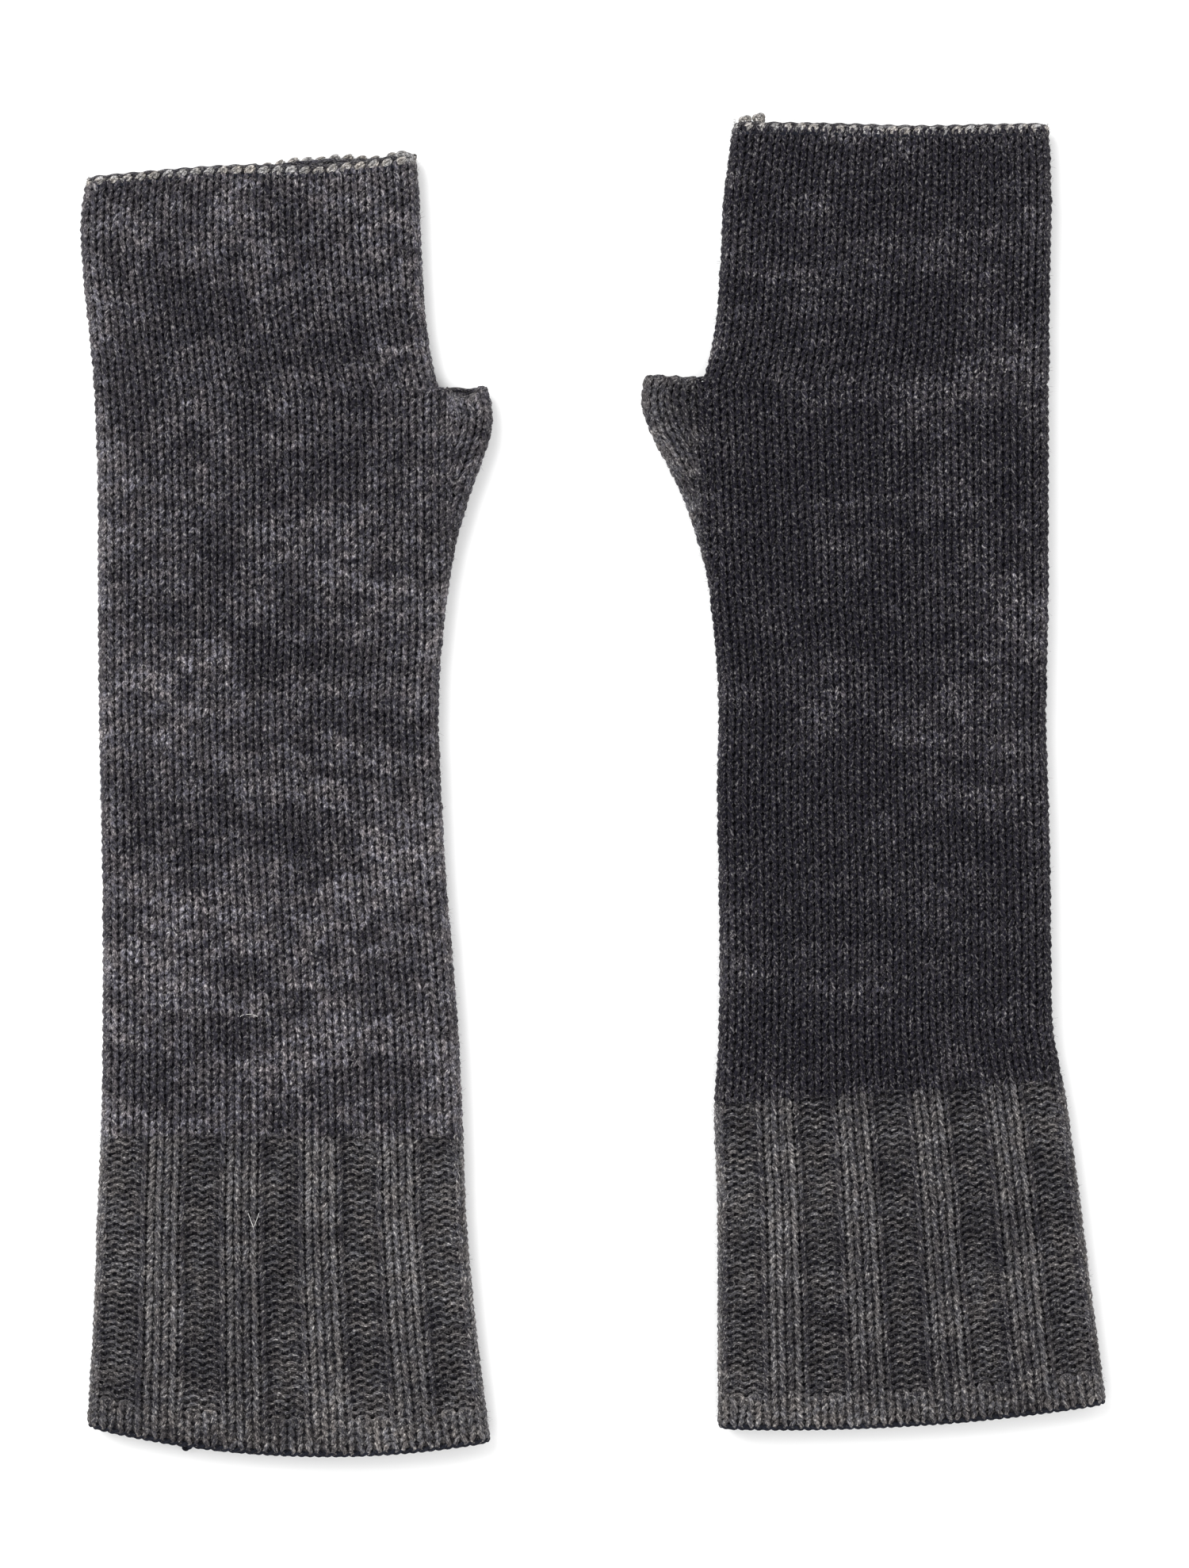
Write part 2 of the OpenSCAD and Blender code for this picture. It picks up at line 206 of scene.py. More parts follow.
# The yarn: tubes that follow paths over the surface. Each piece is one mesh of many tubes, and its
# two UV layers give the length along the yarn and the way round it, and a cell of its own for
# every stitch.
def tubes(paths, normals, radius, sides, chunk, flat=1.0, wear_dye_and_painted_light=0.0):
    """Tubes along K paths of M points each: at every point a ring of `sides` points stands square
    to the path, with this radius, and flat times as high along the surface normal. chunk segments
    share one cell of the second UV layer. The last argument is how far the dye is worn off, and
    below zero how much dye has gathered; it also carries painted highlight and painted shade."""
    k, m, _ = paths.shape
    t = np.gradient(paths, axis=1)
    t /= np.maximum(np.linalg.norm(t, axis=2, keepdims=True), 1e-9)
    b = np.cross(t, normals)
    b /= np.maximum(np.linalg.norm(b, axis=2, keepdims=True), 1e-9)
    n = np.cross(b, t)
    a = 2 * math.pi * (np.arange(sides) + 0.5) / sides
    rad = np.broadcast_to(radius, (k, m))[..., None, None]
    ring = np.cos(a)[:, None] * b[:, :, None] + flat * np.sin(a)[:, None] * n[:, :, None]
    co = paths[:, :, None] + rad * ring
    length = np.linalg.norm(np.diff(paths, axis=1), axis=2)
    along = np.concatenate([np.zeros((k, 1)), np.cumsum(length, axis=1)], 1)
    seg, j = np.arange(m - 1), np.arange(sides)
    base = ((np.arange(k) * m)[:, None, None] + seg[None, :, None]) * sides
    nxt = (j + 1) % sides
    quads = np.stack([base + j, base + sides + j, base + sides + nxt, base + nxt], -1)
    shape = (k, m - 1, sides, 4)
    da, dj = np.array([0, 1, 1, 0]), np.array([0, 0, 1, 1])
    u = np.where(da, along[:, 1:, None, None], along[:, :-1, None, None])
    v = (j[None, None, :, None] + dj) / sides
    # Each path has a place of its own in the wool's streaks, which wind slowly round the yarn.
    turn = np.arange(k)[:, None, None, None] * 3.0
    yarn = np.stack([np.broadcast_to(u + turn * 17.3, shape),
                     np.broadcast_to(v + turn + 0.03 * u, shape)], -1)
    per_path = math.ceil((m - 1) / chunk)
    cell = np.arange(k)[:, None, None, None] * per_path + (seg // chunk)[None, :, None, None]
    fu = ((seg % chunk)[None, :, None, None] + da) / chunk
    return {
        "wear_dye_and_painted_light": np.repeat(np.broadcast_to(wear_dye_and_painted_light, (k, m)).ravel(), sides),
        "co": co.reshape(-1, 3), "quads": quads.reshape(-1, 4), "yarn": yarn.reshape(-1, 4, 2),
        "cell": np.broadcast_to(cell, shape).reshape(-1, 4), "cells": k * per_path,
        "fu": np.broadcast_to(fu, shape).reshape(-1, 4),
        "fv": np.broadcast_to(v, shape).reshape(-1, 4),
    }


def piece(g, name, parts, materials):
    """One mesh object of several sets of tubes. materials gives each set's material."""
    kinds = []
    for mat in materials:
        if mat not in kinds:
            kinds.append(mat)
    co = np.concatenate([p["co"] for p in parts])
    co = np.stack([g["x"] + g["flip"] * co[:, 0], g["y"] + co[:, 1], co[:, 2]], -1) / 1000
    starts = np.cumsum([0] + [len(p["co"]) for p in parts[:-1]])
    quads = np.concatenate([p["quads"] + s for p, s in zip(parts, starts)])
    first = np.cumsum([0] + [p["cells"] for p in parts[:-1]])
    cell = np.concatenate([p["cell"] + c for p, c in zip(parts, first)])
    grid = math.ceil(math.sqrt(sum(p["cells"] for p in parts)))
    fu = np.concatenate([p["fu"] for p in parts])
    fv = np.concatenate([p["fv"] for p in parts])
    margin, inner = 0.08, 0.84
    bake = np.stack([cell % grid + margin + inner * fu, cell // grid + margin + inner * fv], -1)
    bake = bake / grid
    yarn = np.concatenate([p["yarn"] for p in parts])
    which = np.concatenate([np.full(len(p["quads"]), kinds.index(m))
                            for p, m in zip(parts, materials)])
    if g["flip"] < 0:
        quads, bake, yarn = quads[:, ::-1], bake[:, ::-1], yarn[:, ::-1]
    mesh = bpy.data.meshes.new(name)
    mesh.vertices.add(len(co))
    mesh.vertices.foreach_set("co", co.ravel())
    mesh.loops.add(quads.size)
    mesh.loops.foreach_set("vertex_index", np.ascontiguousarray(quads).ravel())
    mesh.polygons.add(len(quads))
    mesh.polygons.foreach_set("loop_start", np.arange(0, quads.size, 4))
    mesh.polygons.foreach_set("material_index", which)
    mesh.polygons.foreach_set("use_smooth", np.ones(len(quads), bool))
    for layer, data in (("Yarn", yarn), ("OFBake", bake)):
        mesh.uv_layers.new(name=layer).data.foreach_set("uv", np.ascontiguousarray(data).ravel())
    wear_dye_and_painted_light_layer = mesh.attributes.new("WearDyeAndPaintedLight", "FLOAT", "POINT")
    wear_dye_and_painted_light_layer.data.foreach_set("value", np.concatenate([p["wear_dye_and_painted_light"] for p in parts]))
    mesh.update()
    for mat in kinds:
        mesh.materials.append(mat)
    obj = bpy.data.objects.new(name, mesh)
    bpy.context.scene.collection.objects.link(obj)
    return obj


# Wool: every piece's finish is the same heathered, washed yarn in its own tones. Dark dye lies in
# stretched blotches, each length of yarn has its own streaks, and light fibres show as flecks. A
# fine bump follows the twisted fibres.
def wool(name, dark, mid, light, blotch, fleck, streak=0.5, scale=1.0, cover=0.0):
    """Noises of five sizes on the glove and three along the yarn mix the dark dye and the light
    fibres into the middle tone. scale sets how fine the dye's blotches are, and cover widens
    them."""
    mat = bpy.data.materials.new(name)
    mat.use_nodes = True
    nodes, links = mat.node_tree.nodes, mat.node_tree.links
    shader = nodes["Principled BSDF"]

    def node(kind, **values):
        """A shader node with these settings, or these values on its sockets."""
        n = nodes.new("ShaderNode" + kind)
        for key, value in values.items():
            if hasattr(n, key):
                setattr(n, key, value)
            else:
                n.inputs[key.replace("_", " ")].default_value = value
        return n

    def noise(vector, scales, size, detail, lo, hi):
        """A stretched noise whose values from lo to hi are spread over 0 to 1."""
        stretch = node("Mapping")
        stretch.inputs["Scale"].default_value = scales
        links.new(vector, stretch.inputs["Vector"])
        tex = node("TexNoise", Scale=size, Detail=detail, Roughness=0.6)
        links.new(stretch.outputs["Vector"], tex.inputs["Vector"])
        rng = node("MapRange", interpolation_type="SMOOTHSTEP")
        rng.inputs["From Min"].default_value = lo
        rng.inputs["From Max"].default_value = hi
        links.new(tex.outputs["Fac"], rng.inputs["Value"])
        return rng.outputs["Result"]

    def blend(a, b, fac):
        """a mixed with b by fac. Sockets 0, 6 and 7 are a colour mix's factor, A and B."""
        mix = node("Mix", data_type="RGBA")
        for value, socket in ((fac, 0), (a, 6), (b, 7)):
            if isinstance(value, (float, tuple)):
                mix.inputs[socket].default_value = value
            else:
                links.new(value, mix.inputs[socket])
        return mix.outputs[2]

    def times(a, k):
        """a times a number or another socket's value."""
        m = node("Math", operation="MULTIPLY")
        links.new(a, m.inputs[0])
        if isinstance(k, float):
            m.inputs[1].default_value = k
        else:
            links.new(k, m.inputs[1])
        return m.outputs[0]

    place = node("TexCoord").outputs["Object"]
    yarn = node("UVMap", uv_map="Yarn").outputs["UV"]
    wear_dye_and_painted_light = node("Attribute", attribute_name="WearDyeAndPaintedLight").outputs["Fac"]
    # Where the yarn is rubbed, and on the painted highlight of the rib's ridges, a quarter of the
    # blotches is left.
    # Pooled dye, and the painted shade beside the rib's ridges, inside the thumb opening and in
    # the gaps between the loops, hide up to nine tenths.
    kept = node("MapRange")
    kept.inputs["To Min"].default_value = 1.0
    kept.inputs["To Max"].default_value = 0.25
    links.new(wear_dye_and_painted_light, kept.inputs["Value"])
    pooled_dye_and_painted_shade = node("MapRange")
    pooled_dye_and_painted_shade.inputs["From Max"].default_value = -1.0
    pooled_dye_and_painted_shade.inputs["To Max"].default_value = 0.9
    links.new(wear_dye_and_painted_light, pooled_dye_and_painted_shade.inputs["Value"])
    wear_and_painted_highlight = node("Math", operation="MAXIMUM")
    links.new(wear_dye_and_painted_light, wear_and_painted_highlight.inputs[0])
    wear_and_painted_highlight.inputs[1].default_value = 0.0
    broad = noise(place, (1.0, 1.4, 1.0), 26.0, 2.0, 0.42 - cover, 0.58 - cover)
    dye = noise(place, (1.0, 1.8, 1.0), 62.0 * scale, 4.0, 0.44 - cover, 0.58 - cover)
    spots = noise(place, (1.0, 1.7, 1.0), 150.0, 3.0, 0.47 - cover, 0.58 - cover)
    patch = noise(place, (1.0, 1.6, 1.0), 420.0, 3.0, 0.45, 0.57)
    hue = noise(place, (1.0, 1.0, 1.0), 230.0, 3.0, 0.4, 0.6)
    run = noise(yarn, (0.18, 0.9, 1.0), 1.0, 3.0, 0.42, 0.6)
    fibre = noise(yarn, (1.3, 7.0, 1.0), 1.0, 3.0, 0.5, 0.63)
    hair = noise(yarn, (1.5, 9.0, 1.0), 1.0, 2.0, 0.42, 0.62)
    left_on = kept.outputs["Result"]
    ink = tuple(dark) + (1.0,)
    pale = tuple(light) + (1.0,)
    cool, warm = [tuple(m * k for m, k in zip(mid, tint)) + (1.0,)
                  for tint in ((0.95, 0.98, 1.05), (1.06, 1.01, 0.96))]
    # Rubbed yarn is paler, and so is the painted highlight on the rib's ridges.
    tone = blend(blend(cool, warm, hue), pale, times(wear_and_painted_highlight.outputs[0], 0.16))
    tone = blend(tone, ink, times(times(patch, 0.6 * blotch), left_on))
    tone = blend(tone, ink, times(run, streak))
    tone = blend(tone, blend(tone, pale, 0.36), times(fibre, fleck))
    tone = blend(tone, ink, times(broad, 0.36 * blotch))
    tone = blend(tone, ink, times(times(dye, 0.56 * blotch), left_on))
    tone = blend(tone, ink, times(times(spots, 0.5 * blotch), left_on))
    # Pooled dye and the painted shade go towards the ink.
    tone = blend(tone, ink, pooled_dye_and_painted_shade.outputs["Result"])
    tone = blend(tone, blend(tone, pale, 0.13), times(fibre, fleck))
    shade = blend(tone, tuple(0.6 * c for c in dark) + (1.0,), times(hair, 0.75))
    links.new(shade, shader.inputs["Base Color"])
    bump = node("Bump", Strength=0.8, Distance=0.0004)
    links.new(hair, bump.inputs["Height"])
    links.new(bump.outputs["Normal"], shader.inputs["Normal"])
    shader.inputs["Roughness"].default_value = 0.92
    shader.inputs["Specular IOR Level"].default_value = 0.08
    shader.inputs["Sheen Weight"].default_value = 0.05
    shader.inputs["Sheen Roughness"].default_value = 0.6
    shader.inputs["Sheen Tint"].default_value = (0.6, 0.6, 0.62, 1.0)
    return mat


INK = (0.0052, 0.0044, 0.0105)
RIB_LIGHT = (0.86, 0.825, 0.79)
left_wool = wool("left_charcoal_wool", INK, (0.265, 0.247, 0.275), (0.86, 0.825, 0.8),
                 blotch=1.08, fleck=0.95, streak=0.46)
right_wool = wool("right_charcoal_wool", INK, (0.108, 0.1, 0.12), (0.84, 0.8, 0.78),
                  blotch=1.25, fleck=0.95, streak=0.48, scale=0.8, cover=0.035)
rib_wool = wool("rib_wool", INK, (0.195, 0.185, 0.19), RIB_LIGHT,
                blotch=0.8, fleck=0.95, streak=0.45)
right_rib_wool = wool("right_rib_wool", INK, (0.165, 0.156, 0.161), RIB_LIGHT,
                      blotch=0.8, fleck=0.95, streak=0.45)
welt_wool = wool("welt_wool", INK, (0.26, 0.247, 0.248), (0.86, 0.815, 0.765),
                 blotch=0.7, fleck=0.95, streak=0.42)
right_thumb_wool = wool("right_thumb_wool", INK, (0.2, 0.19, 0.2), (0.84, 0.81, 0.78),
                        blotch=0.85, fleck=0.95, streak=0.45)
edge_yarn = wool("edge_yarn", (0.05, 0.047, 0.045), (0.66, 0.63, 0.595), (0.92, 0.88, 0.83),
                 blotch=0.5, fleck=0.9, streak=0.4)
right_edge_yarn = wool("right_edge_yarn", (0.03, 0.029, 0.03), (0.68, 0.65, 0.62),
                       (0.88, 0.84, 0.8), blotch=0.5, fleck=0.85, streak=0.4)
# Painted shade: this dark yarn makes the rims' strands and the thumb opening's lower links, for
# the chain's far half and the opening's inside in shadow.
painted_shade_rim_yarn = wool("painted_shade_rim_yarn", INK, (0.12, 0.114, 0.117), (0.7, 0.67, 0.65),
                blotch=0.5, fleck=0.6, streak=0.4)
cast_on_yarn = wool("cast_on_yarn", (0.006, 0.007, 0.013), (0.02, 0.022, 0.034),
                    (0.12, 0.12, 0.13), blotch=0.4, fleck=0.25)
seam_yarn = wool("seam_yarn", INK, (0.04, 0.04, 0.045), (0.2, 0.2, 0.2), blotch=0.4, fleck=0.3)


def fibre_stuff(name, color):
    """Loose fibres are matt and one colour."""
    mat = bpy.data.materials.new(name)
    mat.use_nodes = True
    shader = mat.node_tree.nodes["Principled BSDF"]
    shader.inputs["Base Color"].default_value = color + (1.0,)
    shader.inputs["Roughness"].default_value = 0.8
    shader.inputs["Specular IOR Level"].default_value = 0.2
    return mat


grey_fibre = fibre_stuff("grey_fibre", (0.16, 0.157, 0.16))
pale_fibre = fibre_stuff("pale_fibre", (0.4, 0.39, 0.38))
white_fibre = fibre_stuff("white_fibre", (0.75, 0.74, 0.72))


def wear_dye_and_rib_painted_light(g, tube, q, r, gusset_wales):
    """How far the dye is worn off: most beside the folds, near the finger edge and a little over
    the whole rib. On the rib's ridges it holds a painted highlight, and beside them a painted
    shade, for the light and shade of the rib's relief. It is below zero where the dye has gathered
    in pools and in that painted shade."""
    outer, inner = np.maximum(q, 0), np.maximum(BODY_WALES + gusset_wales - q, 0)
    wear_dye_and_painted_light = 0.45 * np.exp(-outer / 1.6) + 0.5 * np.exp(-inner / 2.2)
    if tube == "top":
        wear_dye_and_painted_light = wear_dye_and_painted_light + 0.15 * np.exp(-(g["end"] - r) / 3.0)
    else:
        in_rib = step(g["welt"] - 1, g["welt"], r) * (1 - step(g["rib"] - 1, g["rib"], r))
        across = np.abs((q + 0.5) % RIB_REPEAT - RIB_REPEAT / 2)
        # Painted light on the rib: a painted highlight on the knit ridges beside each purl groove
        # and a painted shade along the groove's edges.
        painted_ridge_light = 0.4 * np.exp(-(((across - 1.75) / 0.4) ** 2))
        painted_ridge_light = painted_ridge_light - 0.6 * np.exp(-(((across - 1.1) / 0.3) ** 2))
        wear_dye_and_painted_light = wear_dye_and_painted_light + in_rib * (0.1 + painted_ridge_light)
    for q0, r0, wide, tall, depth in g["pools"]:
        wear_dye_and_painted_light = wear_dye_and_painted_light - depth * np.exp(-(((q - q0) / wide) ** 2) - ((r - r0) / tall) ** 2)
    return np.clip(wear_dye_and_painted_light, -1, 1)


# The knitted fabric: every course is one wool yarn that loops through the course below it. Knit
# stitches show two legs that open upwards as a V, and purl stitches in the rib show the loops'
# heads and feet. The courses go once across the upper layer and once across the lower.
SWING, RISE, DIP = 0.205, 0.72, 0.62  # of a loop: sideways in wales, upwards in courses, in height
YARN = 0.56  # radius of the yarn


def courses(g, tube, rows, wales, side, gusset_wales=0):
    """Yarn paths for these courses. Across a stitch t goes once round: the yarn moves by one wale
    plus a sideways swing of sin 2t, rises and falls by cos t, and dips in and out by cos 2t."""
    rng = np.random.default_rng(g["seed"] * 1000 + rows[0] * 7 + int(side) + wales[0])
    seg = 12 if side > 0 else 9
    t = 2 * math.pi * np.arange(seg) / seg
    k = np.arange(wales[0], wales[1])
    r = np.array(rows, float)
    shape = (len(r), len(k), seg)
    push = (1 - np.cos(t)) / 2
    jitter = rng.normal(0, 1, (3, len(r), len(k), 1))
    q = k[None, :, None] + t / (2 * math.pi) + SWING * np.sin(2 * t) + 0.065 * push * jitter[0]
    v = r[:, None, None] - RISE * np.cos(t) + 0.07 * push * jitter[1]
    face = 1 - 2 * np.isin(np.arange(wales[0] - 1, wales[1] + 1) % RIB_REPEAT, PURL_WALES)
    u = t / (2 * math.pi)
    here, before, after = face[1:-1, None], face[:-2, None], face[2:, None]
    turn = here + (before - here) * 0.5 * step(0.2, 0, u) + (after - here) * 0.5 * step(0.8, 1, u)
    ribbed = ((r >= g["welt"]) & (r < g["rib"]))[:, None, None] if tube == "low" else False
    turn = np.where(ribbed, turn[None], 1.0)
    z = -DIP * np.cos(2 * t) * turn + 0.18 * push * jitter[2]
    lean = np.broadcast_to(turn, shape).reshape(len(r), -1)
    lean = np.concatenate([lean, np.ones((len(r), 1))], 1)
    q, v, z = [np.broadcast_to(a, shape).reshape(len(r), -1) for a in (q, v, z)]
    q = np.concatenate([q, np.full((len(r), 1), float(wales[1]))], 1)
    v = np.concatenate([v, v[:, :1]], 1)
    z = np.concatenate([z, np.where(z[:, :1] < 0, -DIP, 0.0)], 1)
    paths, normals = surface(g, tube, q, v, side, z, gusset_wales)
    # Painted shade: just below the thumb opening the lower layer's gusset yarn is painted darker,
    # for the shade inside the opening.
    painted_opening_shade_mask = (tube == "low") * step(g["notch"] - 5, g["notch"] - 2, v) * (q > BODY_WALES)
    inside = 0.9 * (side < 0) * painted_opening_shade_mask
    thick = YARN + 0.06 * lean - 0.1 * lean * np.cos(4 * math.pi * q) - 0.06 * (lean < 0)
    thick = thick + 0.04 * np.sin(q * 0.9 + r[:, None] * 2.3) + 0.03 * rng.normal(0, 1, q.shape)
    wear_dye_and_painted_light = wear_dye_and_rib_painted_light(g, tube, q, v, gusset_wales) - inside
    return tubes(paths, normals, thick, 5 if side > 0 else 4, seg, wear_dye_and_painted_light=wear_dye_and_painted_light)


def matting(g, tube, rows, wales, side, gusset_wales=0):
    """The matted fibres that fill the gaps between the loops: a flat ribbon along every course,
    half a millimetre below the layer's middle and as wide as the course. It lies lower in a purl
    groove. The ribbon is painted darker than the yarn, a little less in a purl groove: painted
    shade in the gaps between the loops."""
    q = np.arange(wales[0], wales[1] + 0.1)[None, :]
    r = np.array(rows, float)[:, None] + 0.0 * q
    q = q + 0.0 * r
    purl = 0.5 * sum(np.isin(w % RIB_REPEAT, PURL_WALES) for w in (np.floor(q), np.ceil(q - 1)))
    ribbed = (r >= g["welt"]) & (r < g["rib"]) & (tube == "low")
    paths, normals = surface(g, tube, q, r, side, -0.5 - 0.5 * purl * ribbed, gusset_wales)
    # Painted shade: the ribbons are painted darker than the yarn, a little less in a purl groove.
    wear_dye_and_painted_light = np.minimum(wear_dye_and_rib_painted_light(g, tube, q, r, gusset_wales), 0) - 0.6 + 0.3 * purl * ribbed
    return tubes(paths, normals, 1.25, 4, 1, 0.22, wear_dye_and_painted_light)


AT_FOLD = 0.22  # share of the loose fibres that stands at each fold
HAIR = (0.4, 1.2, 0.035)  # a loose fibre's least and greatest length, and its radius


def fuzz(g, tube, rows, wales, count, gusset_wales=0, seed=0):
    """Loose fibres: short curved hairs that start on the yarn and lean away at random."""
    rng = np.random.default_rng(g["seed"] + 77 * seed + rows[0])
    parts = []
    for side, n in ((1, count), (-1, count // 4)):
        q = rng.uniform(wales[0], wales[1], n)
        outer = rng.random(n) < AT_FOLD
        q = np.where(outer & (wales[0] == 0), np.abs(rng.normal(0, 0.5, n)), q)
        inner = rng.random(n) < AT_FOLD
        q = np.where(inner, wales[1] - np.abs(rng.normal(0, 0.5, n)), q)
        r = rng.uniform(rows[0] - 0.5, rows[-1] + 0.5, n)
        base, normal = surface(g, tube, q, r, side, 0.75, gusset_wales)
        aim = 0.6 * normal + rng.normal(0, 0.6, (n, 3))
        aim /= np.linalg.norm(aim, axis=1, keepdims=True)
        length = rng.uniform(HAIR[0], HAIR[1], n)[:, None, None]
        curl = np.clip(rng.normal(0, 0.4, (n, 3)), -0.7, 0.7)
        tau = np.linspace(0, 1, 4)[None, :, None]
        paths = base[:, None] + length * (tau * aim[:, None] + tau**2 * curl[:, None])
        paths[..., 2] = np.clip(paths[..., 2], 0.1, 10.9)
        radius = HAIR[2] * (1 - 0.6 * tau[..., 0])
        up = np.broadcast_to([0.31, 0.52, 0.79], paths.shape)
        parts.append(tubes(paths, up, radius, 3, 3))
    return parts


def knit(g, name, tube, rows, wales, mat, hairs, gusset_of=None):
    """One band of fabric: both layers' courses, the matting behind them and their loose fibres.
    Courses with the same number of gusset wales are made together."""
    parts, mats, groups = [], [], {}
    for r in rows:
        groups.setdefault(gusset_of(r) if gusset_of else 0, []).append(r)
    for n, some in groups.items():
        span = wales if wales[1] <= BODY_WALES else (wales[0], BODY_WALES + n)
        if span[1] <= span[0]:
            continue
        for side in (1, -1):
            parts += [courses(g, tube, some, span, side, n), matting(g, tube, some, span, side, n)]
            mats += [mat, mat]
        some_hairs = fuzz(g, tube, some, span, hairs * len(some) // len(rows), n, len(mats))
        parts += some_hairs
        mats += [grey_fibre] * len(some_hairs)
    return piece(g, name, parts, mats)


def gusset_wales_at(g):
    """How many gusset wales a course has: one more each time the gusset widens by a pitch."""
    def count(r):
        gusset = float(row_facts(g, "low", np.array(float(r)))[6])
        return int(math.floor(gusset / GUSSET_PITCH + 0.62))

    return count


for g in (LEFT, RIGHT):
    n = g["name"]
    if g is LEFT:
        body_mat, thumb_mat, rib_mat = left_wool, left_wool, rib_wool
    else:
        body_mat, thumb_mat, rib_mat = right_wool, right_thumb_wool, right_rib_wool
    count = gusset_wales_at(g)
    mid_arm = (g["rib"] + g["wrist"]) // 2
    # knit() cuts the gusset's span to the wales that each course has.
    all_body, all_gusset = (0, BODY_WALES), (BODY_WALES, 99)
    welt = knit(g, n + "_welt_knit", "low", range(0, g["welt"]), all_body, welt_wool, 300)
    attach(welt, n + "_cuff")
    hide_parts(n + "_cuff_welt")
    # The rib's last courses make a piece of their own that is not attached to the cuff, and the
    # rest of the rib rides the cuff.
    near_fold = g["rib"] - 14
    rib_rows, bend_rows = range(g["welt"], near_fold), range(near_fold, g["rib"])
    rib = knit(g, n + "_lower_rib_knit", "low", rib_rows, all_body, rib_mat, 700)
    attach(rib, n + "_cuff")
    bend = knit(g, n + "_upper_rib_knit", "low", bend_rows, all_body, rib_mat, 400)
    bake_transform(bend)
    for obj in (rib, bend):
        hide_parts(n + "_rib_cuff")
    lower_rows, upper_rows = range(g["rib"], mid_arm), range(mid_arm, g["palm"])
    lower = knit(g, n + "_lower_arm_knit", "low", lower_rows, all_body, body_mat, 900)
    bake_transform(lower)
    upper = knit(g, n + "_upper_arm_knit", "low", upper_rows, all_body, body_mat, 1000)
    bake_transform(upper)
    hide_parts(n + "_arm_tube")
    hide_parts(n + "_arm_tube")
    palm_rows = range(g["palm"], g["notch"])
    palm = knit(g, n + "_palm_knit", "low", palm_rows, all_body, body_mat, 1000, count)
    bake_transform(palm)
    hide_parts(n + "_palm_tube")
    thumb = knit(g, n + "_gusset_knit", "low", palm_rows, all_gusset, thumb_mat, 400, count)
    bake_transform(thumb)
    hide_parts(n + "_thumb_gusset")
    finger_rows = range(g["notch"], g["end"])
    fingers = knit(g, n + "_finger_knit", "top", finger_rows, all_body, body_mat, 900)
    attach(fingers, n + "_hand")
    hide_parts(n + "_finger_tube")


# The edges: a row of linked chain stitches lies round each finger and thumb opening, and a dark
# two-strand cord is the cast-on edge at the cuff. They are separate yarns on the last course.
LINK_LONG, LINK_HIGH, LINK_YARN = 1.08, 0.52, 0.54
WALE_WIDTH = 3.3  # at the rims
TWIST = 0.42  # how far each strand runs from the cord's middle


def chain(g, tube, span, r, out, links, side, gusset_wales=0, size=1.0):
    """Oval links that lean up along a rim: round a link the yarn goes by cos t along it and by
    sin t across it, and its upper end lies over the next link."""
    t = np.linspace(0, 2 * math.pi, 15)
    pitch = (span[1] - span[0]) / links
    middle = span[0] + pitch * (np.arange(links) + 0.5)
    rng = np.random.default_rng(g["seed"] + links)
    lean = 0.55 + 0.12 * rng.normal(0, 1, (links, 1))
    along, across = size * LINK_LONG * np.cos(t)[None], size * LINK_HIGH * np.sin(t)[None]
    dx = g["flip"] * (along * np.cos(lean) - across * np.sin(lean))
    dy = along * np.sin(lean) + across * np.cos(lean)
    q = middle[:, None] + dx / WALE_WIDTH * pitch
    co, normal = surface(g, tube, q, r, side, 0.35 + 0.3 * np.cos(t), gusset_wales)
    co[..., 1] += out + dy + 0.12 * rng.normal(0, 1, (links, 1))
    return tubes(co, normal, LINK_YARN * size, 5, 14, wear_dye_and_painted_light=0.4)


def rim(g, tube, span, r, out, z, radius, side, gusset_wales=0):
    """One plain strand along a rim, in low waves a little longer than a wale."""
    q = np.linspace(span[0], span[1], int((span[1] - span[0]) * 6) + 1)
    co, normal = surface(g, tube, q, r, side, z, gusset_wales)
    co[..., 1] += out + 0.16 * np.sin(2 * math.pi * 0.83 * q + side)
    return tubes(co[None], normal[None], radius, 5, 6)


def cord(g, r, radius):
    """Two strands twisted round each other along the cuff's edge, one turn to a wale."""
    parts = []
    q = np.linspace(-0.2, BODY_WALES + 0.2, BODY_WALES * 10)
    for side in (1, -1):
        for phase in (0, math.pi):
            turn = 2 * math.pi * q + phase
            co, normal = surface(g, "low", q, r, side, TWIST * np.cos(turn))
            co[..., 1] += TWIST * np.sin(turn)
            parts.append(tubes(co[None], normal[None], radius, 5, 10))
    return parts


